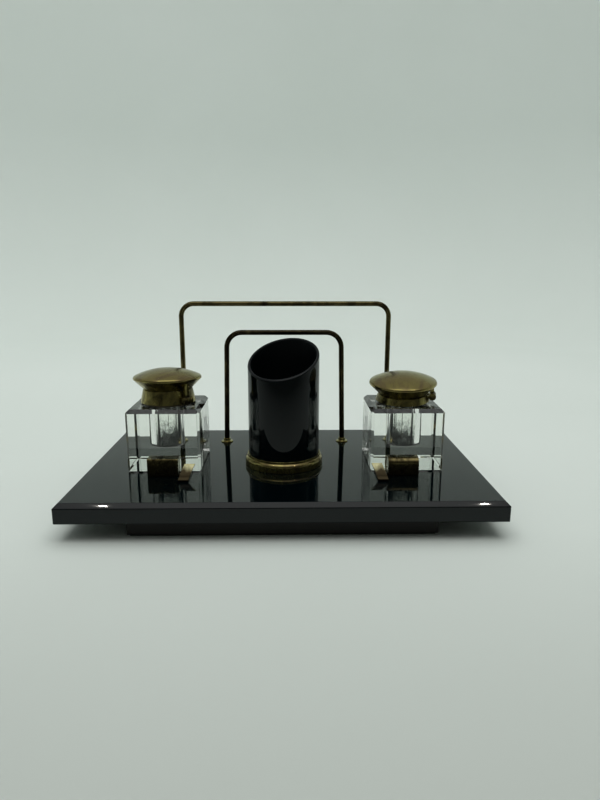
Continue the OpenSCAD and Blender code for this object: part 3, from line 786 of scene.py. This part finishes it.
class INKSTAND_OT_plinth(bpy.types.Operator):
    """Wooden plinth and the felt under it."""

    bl_idname = "inkstand.plinth"
    bl_label = "Plinth and felt"

    def execute(self, context):
        sizes = context.scene.inkstand_slab
        bm, wood = box_mesh(*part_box("plinth")), ebonised_wood()
        ease_edges(bm, sizes.plinth_round, 3)
        add_piece("wooden_plinth", bm, "stand", wood, ["plinth"], flat=True)
        bm = box_mesh(*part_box("felt_pad"))
        ease_edges(bm, sizes.felt_round, 3)
        add_piece("plinth_felt", bm, "stand", pressed_felt(), ["felt_pad"])
        return {"FINISHED"}


class INKSTAND_OT_wells(bpy.types.Operator):
    """Crystal inkwells and the cement that holds their collars."""

    bl_idname = "inkstand.wells"
    bl_label = "Crystal inkwells"

    def execute(self, context):
        sizes, lids = context.scene.inkstand_wells, context.scene.inkstand_lids
        neck_r, bore_r, floor = sizes.neck_radius, sizes.bore_radius, sizes.bore_floor
        fillet, ease = sizes.bore_fillet, mm(0.4)
        # The neck starts inside the block, and the bore runs out above it.
        overlap = mm(2)
        for side in SIDES:
            low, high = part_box("inkwell_glass_" + side)
            foot = foot_of(low, high)
            low, high = low - foot, high - foot
            top = Vector((high.x, high.y, sizes.height))
            block = faceted_block(low, top, sizes.top_bevel, sizes.foot_bevel, sizes.side_bevel)
            ease_edges(block, sizes.edge_round)
            root, end = sizes.height - overlap, high.z + overlap
            neck = [(0, root, 0), (neck_r, root, 0), (neck_r, high.z, ease), (0, high.z, 0)]
            block = combine(block, lathe(rounded(neck), closed=False), "UNION")
            bore = [(0, floor), *arc(bore_r - fillet, floor + fillet, fillet, -90, 0, 12)]
            bore += [(bore_r, end), (0, end)]
            block = combine(block, lathe(bore, closed=False), "DIFFERENCE")
            add_piece(
                "crystal_inkwell_" + side, block, "inkwell_" + side, cut_crystal(sizes),
                ["inkwell_glass_" + side], Matrix.Translation(foot), smooth=20, flat=True,
            )
            self.cement(side, foot + Vector((0, 0, sizes.height)), neck_r, lids)
        return {"FINISHED"}

    def cement(self, side, seat, neck_r, lids):
        """Ring of cement between the block's top and the collar, which may lean."""
        place = Matrix.Translation(seat)
        collar = place.inverted() @ joint_frame(side, lids)
        normal = (collar.to_3x3() @ Vector((0, 0, 1))).normalized()
        point = collar.translation
        # It ends a hair under the collar and a fine step inside the collar's edge.
        hair, step = mm(0.01), mm(0.15)

        def under_collar(x, y):
            return point.z - normal.xy.dot(Vector((x, y)) - point.xy) / normal.z - hair

        outer, inner = lids.collar_top - step, neck_r + FIT
        ring = [(inner, 0), (outer, 0), (outer, under_collar), (inner, under_collar)]
        add_piece(
            "collar_cement_" + side, lathe(ring, 96), "inkwell_" + side, fixing_plaster(),
            ["collar_bed_" + side], place,
        )


def barrel(bm, sizes, y, width, radius, ease=0.3):
    """A cylinder with eased ends, lying along Y on the hinge's axis."""
    half, ease = width / 2, mm(ease)
    ends = [(0, -half, 0), (radius, -half, ease), (radius, half, ease), (0, half, 0)]
    part = lathe(rounded(ends), 40, closed=False)
    place = Matrix.Translation((sizes.hinge_out, y, sizes.hinge_up))
    place = place @ Matrix.Rotation(math.pi / 2, 4, "X")
    bmesh.ops.transform(part, matrix=place, verts=part.verts[:])
    return merge(bm, part)


class INKSTAND_OT_collars(bpy.types.Operator):
    """Brass collars with their hinge knuckles and pins."""

    bl_idname = "inkstand.collars"
    bl_label = "Collars and hinge pins"

    def execute(self, context):
        sizes = context.scene.inkstand_lids
        wide, radius = sizes.outer_knuckle, sizes.knuckle_radius
        spread = sizes.lid_knuckle / 2 + sizes.knuckle_gap + wide / 2
        span = 2 * (spread + wide / 2)
        room = sizes.lid_knuckle + 2 * sizes.knuckle_gap
        # Each lug reaches into the collar and carries a knuckle. The pin stands out at both ends
        # and has peened heads.
        lug_root, lug_half, lug_ease = mm(0.85), mm(0.8), mm(0.15)
        pin_extra, pin_r, head = mm(0.9), sizes.pin_radius, mm(0.5)
        bore, top = sizes.collar_bore, sizes.collar_top
        for side in SIDES:
            tall = getattr(sizes, "collar_" + side)
            place, body = joint_frame(side, sizes), "inkwell_" + side
            outline = rounded([
                (bore, 0, mm(0.2)), (sizes.collar_foot, 0, mm(0.25)), (top, tall, mm(0.5)),
                (bore, tall, mm(0.3)),
            ])
            notch = barrel(bmesh.new(), sizes, 0, room, radius + sizes.knuckle_room, ease=0.05)
            bm = combine(lathe(outline), notch, "DIFFERENCE")
            pin = barrel(bmesh.new(), sizes, 0, span + pin_extra, pin_r, ease=0.1)
            for sign in (-1, 1):
                y = sign * spread
                barrel(bm, sizes, y, wide, radius)
                low = (top - lug_root, y - wide / 2, sizes.hinge_up - lug_half)
                lug = box_mesh(low, (sizes.hinge_out, y + wide / 2, sizes.hinge_up + lug_half))
                ease_edges(lug, lug_ease)
                merge(bm, lug)
                barrel(pin, sizes, sign * (span / 2 + head / 2), head, pin_r + head, ease=0.24)
            add_brass("brass_collar_" + side, bm, body, "browned", "collar_" + side, place=place)
            add_brass("hinge_rivet_" + side, pin, body, "browned", "hinge_pin_" + side, place=place)
        return {"FINISHED"}


class INKSTAND_OT_lids(bpy.types.Operator):
    """Spun brass lids with the plates that close them."""

    bl_idname = "inkstand.lids"
    bl_label = "Lids"

    def execute(self, context):
        sizes = context.scene.inkstand_lids
        outside, hollow = self.outlines(sizes)
        edge, half = sizes.neck_radius - sizes.wall - FIT, sizes.lid_knuckle / 2
        # The arm from the knuckle to the rim, measured from the hinge's axis.
        arm_in, arm_out, arm_ease = mm(1.6), mm(1), mm(0.2)
        plate_foot, plate_top, ease = mm(0.2), mm(1), mm(0.15)
        for side in SIDES:
            base = getattr(sizes, "collar_" + side) + sizes.seat_gap
            rim = base + sizes.cone_height
            bm = lathe([(r, z + base) for r, z in [*outside, *hollow]], 176)
            barrel(bm, sizes, 0, sizes.lid_knuckle, sizes.knuckle_radius)
            low = (sizes.hinge_out - arm_in, -half, sizes.hinge_up)
            arm = box_mesh(low, (sizes.hinge_out + arm_out, half, rim - sizes.rim_bead))
            ease_edges(arm, arm_ease)
            merge(bm, arm)
            place, body = joint_frame(side, sizes), "lid_" + side + "_body"
            lid = add_brass("brass_lid_" + side, bm, body, "spun", "lid_" + side, place=place)
            # The cone under the rim takes the browned brass as painted shade under the rim.
            painted_shade_below = rim - mm(0.2)
            second_finish(lid, brass("browned"), lambda middle: middle.z < painted_shade_below)
            foot, top = base + plate_foot, base + plate_top
            disc = rounded([(0, foot, 0), (edge, foot, ease), (edge, top, ease), (0, top, 0)])
            plate, node = lathe(disc, closed=False), "lid_plate_" + side
            add_brass("lid_underplate_" + side, plate, body, "browned", node, place=place)
        return {"FINISHED"}

    def outlines(self, sizes):
        """Outside and hollow of a lid, as (radius, height above its seat) points."""
        cone, rise, small = sizes.cone_height, sizes.dome_height, sizes.shoulder
        rim, bead = sizes.rim_radius, sizes.rim_bead
        mouth, shoulder_x = sizes.neck_radius - sizes.wall, rim - small
        crown = (shoulder_x**2 + rise**2 - small**2) / (2 * (rise - small))
        meet = 90 - math.degrees(math.asin(shoulder_x / (crown - small)))
        middle = cone + rise - crown
        neck, under_bead = (sizes.neck_radius, 0, mm(0.3)), (rim - mm(1.3), cone - mm(1.35), 0)
        outside = rounded([(mouth, 0, 0), neck, under_bead])[:-1]
        outside += arc(rim - bead, cone, bead, -60, 0, 8)
        outside += arc(shoulder_x, cone, small, 0, meet, 12)[1:]
        outside += arc(0, middle, crown, meet, 90, 30)[1:]
        hollow, step = arc(0, middle, crown - sizes.wall, 90, meet + 3, 16), mm(1.2)
        return outside, [*hollow, (shoulder_x, cone), (mouth, step)]


class INKSTAND_OT_cup(bpy.types.Operator):
    """Pen cup cut on the slant, its moulding and the felt in it."""

    bl_idname = "inkstand.cup"
    bl_label = "Pen cup"

    def execute(self, context):
        sizes = context.scene.inkstand_cup
        place = Matrix.Translation(foot_of(*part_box("pen_cup_base")))
        steep = math.tan(sizes.slant)
        lean = (steep * math.sin(sizes.slant_turn), steep * math.cos(sizes.slant_turn))
        outer, inner = sizes.radius, sizes.radius - sizes.wall
        lip, floor, ease = sizes.lip_round, sizes.floor, mm(0.3)

        def under_rim(down):
            return lambda x, y: sizes.middle_height + lean[0] * x + lean[1] * y - down

        outline = [(inner, floor), (inner + ease, floor), (outer - ease, floor)]
        outline += [(outer, floor + ease), (outer, under_rim(lip))]
        outline += [(outer - lip + x, under_rim(lip - y)) for x, y in arc(0, 0, lip, 0, 90, 6)[1:]]
        outline += [(inner + lip + x, under_rim(lip - y)) for x, y in arc(0, 0, lip, 90, 180, 6)]
        cup = add_piece(
            "glass_pen_cup", lathe(outline, 176), "stand", handled_black_glass(),
            ["pen_cup_tube"], place,
        )
        # The inside is left as it was moulded.
        inside = inner + mm(0.4)
        second_finish(cup, moulded_black_glass(), lambda middle: middle.xy.length < inside)
        self.moulding(sizes, place)
        self.felt(sizes, place)
        return {"FINISHED"}

    def moulding(self, sizes, place):
        """Turned brass dish: an upright foot, a round shoulder and a narrow band round the tube."""
        # The cement line round the tube, and the fine bevels of foot and band.
        line, foot_ease, ease = mm(0.1), mm(0.3), mm(0.2)
        tube, tall, turn = sizes.radius + line, sizes.moulding_height, sizes.moulding_round
        out, band = sizes.radius + sizes.moulding_out, sizes.radius + sizes.band_out
        shoulder = tall - sizes.band_height - turn
        stop = math.degrees(math.acos((band - out + turn) / turn))
        outline = [(0, 0), (out - foot_ease, 0), (out, foot_ease)]
        outline += [*arc(out - turn, shoulder, turn, 0, stop, 12), (band, shoulder + turn)]
        outline += arc(band - ease, tall - ease, ease, 0, 90, 4)
        outline += [(tube, tall - line), (tube, sizes.floor), (0, sizes.floor)]
        bm = lathe(outline, closed=False)
        dish = add_brass("brass_cup_moulding", bm, "stand", "turned", "pen_cup_base", place=place)
        # Only the round shoulder keeps the wiped brass; the upright foot and the band take the
        # browned brass as painted shade.
        wiped = (shoulder + mm(0.4), shoulder + turn)
        second_finish(dish, brass("browned"), lambda middle: not wiped[0] <= middle.z <= wiped[1])

    def felt(self, sizes, place):
        """Felt disc with a hole for the bolt's head."""
        hole, edge = mm(4.85), sizes.radius - sizes.wall - mm(0.1)
        low, top = sizes.floor, sizes.floor + sizes.pad
        worn, cut = mm(0.8), mm(0.6)
        disc = rounded([(hole, low, 0), (edge, low, 0), (edge, top, cut), (hole, top, worn)])
        add_piece("cup_felt", lathe(disc), "stand", pressed_felt(), ["pen_cup_pad"], place)


class INKSTAND_OT_hoops(bpy.types.Operator):
    """Letter hoops of bent rod, with a turned ferrule at each foot."""

    bl_idname = "inkstand.hoops"
    bl_label = "Letter hoops"

    def execute(self, context):
        sizes = context.scene.inkstand_hoops
        slab_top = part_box("base_slab")[1].z
        for name in ("front", "rear"):
            low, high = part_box(name + "_hoop")
            y, bar = (low.y + high.y) / 2, high.z - sizes.rod_radius - slab_top
            bend, lean = getattr(sizes, name + "_bend"), getattr(sizes, name + "_lean")
            shape = (slab_top - low.z, bar, bend, lean)
            halves = (-low.x - sizes.rod_radius, high.x - sizes.rod_radius)
            left, radii = self.half(halves[0], *shape, sizes)
            right, others = self.half(halves[1], *shape, sizes)
            path = [Vector((-x, y, slab_top + z)) for x, z in left]
            path += [Vector((x, y, slab_top + z)) for x, z in reversed(right)]
            bm = rod(path, radii + others[::-1])
            add_brass(name + "_wire_hoop", bm, "stand", name, name + "_hoop")
            self.ferrules(name, halves, y, slab_top, sizes)
        return {"FINISHED"}

    def half(self, half, stud, bar, bend, lean, sizes):
        """Half of a hoop as (x, z) points over the slab, from its threaded foot to its bend."""
        half_pitch, thread_depth, steps = mm(0.35), mm(0.22), 14
        turns = round(stud / half_pitch)
        points = [(half, -stud + stud * i / turns) for i in range(turns + 1)]
        radii = [sizes.stud_radius - (thread_depth if i % 2 == 0 else 0) for i in range(turns + 1)]
        foot = sizes.ferrule_height
        top = bar - bend + bend * math.sin(lean)
        top_x = half - (top - foot) * math.tan(lean)
        middle = top_x - bend * math.cos(lean)
        points += [(half, FIT), (half, foot), ((half + top_x) / 2, (foot + top) / 2)]
        points += arc(middle, bar - bend, bend, math.degrees(lean), 90, steps)
        radii += [sizes.rod_radius] * (len(points) - len(radii))
        return points, radii

    def ferrules(self, name, halves, y, slab_top, sizes):
        """Two turned ferrules: a thin plate with a short neck round the rod."""
        wide, plate, tall = sizes.ferrule_radius, sizes.ferrule_plate, sizes.ferrule_height
        hole, neck = sizes.rod_radius + FIT, sizes.rod_radius + sizes.ferrule_wall
        fine, soft, fillet = mm(0.15), mm(0.4), mm(0.5)
        outline = rounded([
            (hole, 0, 0), (wide, 0, fine), (wide, plate, soft), (neck, plate, fillet),
            (neck, tall, soft), (hole, tall, fine),
        ])
        for side, x in (("left", -halves[0]), ("right", halves[1])):
            nodes = [name + "_hoop_ferrules"] if side == "left" else []
            place, bm = Matrix.Translation((x, y, slab_top)), lathe(outline, 64)
            add_brass(name + "_ferrule_" + side, bm, "stand", "turned", *nodes, place=place)


class INKSTAND_OT_rests(bpy.types.Operator):
    """Pen rests: a brass block on a foot plate whose leaf folds up in front of it."""

    bl_idname = "inkstand.rests"
    bl_label = "Pen rests"

    def execute(self, context):
        sizes = context.scene.inkstand_rests
        ease = mm(0.3)
        for side, sign in (("left", -1), ("right", 1)):
            low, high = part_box("pen_rest_block_" + side)
            outline = rounded([
                (low.y, low.z, ease), (high.y, low.z, ease), (high.y, high.z, sizes.block_round),
                (low.y, high.z, getattr(sizes, "nose_" + side)),
            ], 10)
            bm = swept_strip([(y, z, 0) for y, z in outline], low.x, high.x)
            ease_edges(bm, ease, 3, over=60)
            name, node = "pen_rest_block_of_brass_" + side, "pen_rest_block_" + side
            add_brass(name, bm, "stand", "sawn", node, flat=True)
            self.leaf(side, sign, low, high, sizes)
        return {"FINISHED"}

    def leaf(self, side, sign, block_low, block_high, sizes):
        """Foot plate under the block, whose tongue comes forward and folds back up as a leaf."""
        low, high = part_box("pen_rest_leaf_" + side)
        thick, fold, rise = sizes.leaf_thickness, sizes.fold, sizes.leaf_rise
        fold_y, fold_z = low.y + fold, low.z + fold
        run = Vector((math.cos(rise), math.sin(rise)))
        out, count = Vector((-math.sin(rise), math.cos(rise))), 12

        def leaf_point(along, off):
            share = along / sizes.leaf_length
            arch = sizes.leaf_arch * 4 * share * (1 - share)
            spot = Vector((fold_y, fold_z)) + run * along + out * (off + arch)
            return (spot.x, spot.y, -sign * sizes.leaf_slant * share)

        # The fold's outer round ends 25 degrees short of the leaf's back.
        turned = arc(fold_y, fold_z, fold, 270, math.degrees(rise) + 115, 14)
        outline = [(high.y, low.z, 0), *((y, z, 0) for y, z in turned)]
        steps = [sizes.leaf_length * (i + 1) / count for i in range(count)]
        outline += [leaf_point(along, thick / 2) for along in steps]
        crotch = (thick - fold + thick / 2 * math.cos(rise)) / math.sin(rise)
        outline += [leaf_point(along, -thick / 2) for along in [*reversed(steps), crotch]]
        outline += [(high.y, low.z + thick, 0)]
        # The tongue stands on the centre line's side of the block.
        edge = (low.x if sign > 0 else high.x) + sign * sizes.leaf_slant
        bm = swept_strip(outline, *sorted((edge, edge + sign * sizes.leaf_width)))
        ease_edges(bm, sizes.leaf_round, 2, over=35)
        foot_low, foot_high = sorted((edge, block_high.x if sign > 0 else block_low.x))
        foot = box_mesh((foot_low, block_low.y, low.z), (foot_high, block_high.y, low.z + thick))
        ease_edges(foot, sizes.leaf_round)
        name, node = "pen_rest_leaf_of_strip_" + side, "pen_rest_leaf_" + side
        add_brass(name, merge(bm, foot), "stand", "filed", node, flat=True)


class INKSTAND_OT_fixings(bpy.types.Operator):
    """Gives the bolts, nuts, washers and screws their steel."""

    bl_idname = "inkstand.fixings"
    bl_label = "Fixings"

    def execute(self, context):
        cup = ("pen_cup_bolt", "pen_cup_washer", "pen_cup_nut")
        for name in (*cup, "hoop_washers", "hoop_nuts", "pen_rest_screws"):
            for slot in frame["nodes"][name].material_slots:
                slot.material = turned_steel()
        return {"FINISHED"}


class INKSTAND_OT_stage(bpy.types.Operator):
    """Pale paper sweep, soft light and camera."""

    bl_idname = "inkstand.stage"
    bl_label = "Stage"

    def execute(self, context):
        scene, sizes = context.scene, context.scene.inkstand_stage
        self.sweep(sizes)
        bare = (sizes.spot_size, sizes.spot_power, "#fffaf0")
        for name, x in (("left_lamp", -0.432), ("right_lamp", 0.464)):
            self.light(name, (x, -0.492, 1.0), (0, 0, 0), *bare)
        # The two large soft lights light the sweep but stay out of the mirrors.
        for name, place, target, size, power in (
            ("overhead_softbox", (0, 0.2, 1.5), (0, 0.1, 0), 1.6, sizes.soft_power),
            ("backdrop_wash", (-0.3, 0.35, 1.35), (-0.35, 1.5, 0.55), 1.0, sizes.wash_power),
        ):
            lamp = self.light(name, place, target, size, power, "#fbfffc")
            lamp.visible_glossy = lamp.visible_transmission = lamp.visible_camera = False
        scene.world = self.room(sizes)
        camera = bpy.data.cameras.new("camera")
        camera.lens, camera.sensor_width = sizes.lens, SENSOR_WIDTH
        camera.clip_start, camera.clip_end = 0.01, 20
        holder = bpy.data.objects.new("camera", camera)
        holder.location = CAMERA_PLACE
        holder.rotation_euler = [math.radians(a) for a in CAMERA_TURN]
        scene.collection.objects.link(holder)
        scene.camera = holder
        scene.view_settings.view_transform = "Standard"
        scene.view_settings.look = "Medium High Contrast"
        return {"FINISHED"}

    def room(self, sizes):
        """Soft light from the whole sky over the sweep, weaker from in front of the object."""
        world = bpy.data.worlds.new("room")
        world.use_nodes = True
        f = Finish(world.node_tree, "Generated")
        fade = f.ramp(f.part("Y"), -0.95, -0.1, sizes.room_front, sizes.room, "SMOOTHSTEP")
        # The ceiling round the two lamps glows softly.
        lamps = Vector((0, -0.22, 0.975)).normalized()
        toward = f.vector_math("Value", "DOT_PRODUCT", f.where, lamps)
        rim, core = (math.cos(math.radians(angle)) for angle in (34, 12))
        glow = f.ramp(toward, rim, core, 0.0, sizes.glow, "SMOOTHSTEP")
        background = f.tree.nodes["Background"]
        background.inputs["Color"].default_value = srgb("#fcfdfb")
        f.tree.links.new(f.math("ADD", fade, glow), background.inputs["Strength"])
        return world

    def sweep(self, sizes):
        """Round floor that curves up into a wall."""
        bend = sizes.wall_radius - sizes.floor_radius
        outline = [(0, 0), (sizes.floor_radius * 0.5, 0)]
        outline += arc(sizes.floor_radius, bend, bend, -90, 0, 24)
        outline += [(sizes.wall_radius, sizes.wall_height)]
        sweep = new_object("paper_sweep", lathe(outline, 128, closed=False), sweep_paper())

    def light(self, name, place, target, size, power, code):
        """A square soft light that faces a point."""
        lamp = bpy.data.lights.new(name, "AREA")
        lamp.shape, lamp.size, lamp.energy, lamp.color = "SQUARE", size, power, srgb(code)[:3]
        holder = bpy.data.objects.new(name, lamp)
        holder.location = place
        aim = Vector(target) - Vector(place)
        holder.rotation_euler = aim.to_track_quat("-Z", "Y").to_euler()
        bpy.context.scene.collection.objects.link(holder)
        return holder


PIECES = (
    INKSTAND_OT_slab,
    INKSTAND_OT_plinth,
    INKSTAND_OT_wells,
    INKSTAND_OT_collars,
    INKSTAND_OT_lids,
    INKSTAND_OT_cup,
    INKSTAND_OT_hoops,
    INKSTAND_OT_rests,
    INKSTAND_OT_fixings,
    INKSTAND_OT_stage,
)


class INKSTAND_PT_panel(bpy.types.Panel):
    """Lists the inkstand's pieces."""

    bl_label = "Inkstand"
    bl_idname = "INKSTAND_PT_panel"
    bl_space_type = "VIEW_3D"
    bl_region_type = "UI"
    bl_category = "Inkstand"

    def draw(self, context):
        for piece in PIECES:
            self.layout.operator(piece.bl_idname)


SETTINGS = {
    "inkstand_slab": SlabSettings,
    "inkstand_wells": WellSettings,
    "inkstand_lids": LidSettings,
    "inkstand_cup": CupSettings,
    "inkstand_hoops": HoopSettings,
    "inkstand_rests": RestSettings,
    "inkstand_finish": FinishSettings,
    "inkstand_stage": StageSettings,
}


def register():
    for name, group in SETTINGS.items():
        bpy.utils.register_class(group)
        setattr(bpy.types.Scene, name, PointerProperty(type=group))
    for cls in (*PIECES, INKSTAND_PT_panel):
        bpy.utils.register_class(cls)


def unregister():
    for cls in reversed((*PIECES, INKSTAND_PT_panel)):
        bpy.utils.unregister_class(cls)
    for name, group in reversed(SETTINGS.items()):
        delattr(bpy.types.Scene, name)
        bpy.utils.unregister_class(group)


def main():
    register()
    bpy.ops.inkstand.slab()
    bpy.ops.inkstand.plinth()
    bpy.ops.inkstand.wells()
    bpy.ops.inkstand.collars()
    bpy.ops.inkstand.lids()
    bpy.ops.inkstand.cup()
    bpy.ops.inkstand.hoops()
    bpy.ops.inkstand.rests()
    bpy.ops.inkstand.fixings()
    bpy.ops.inkstand.stage()


if __name__ == "__main__":
    main()
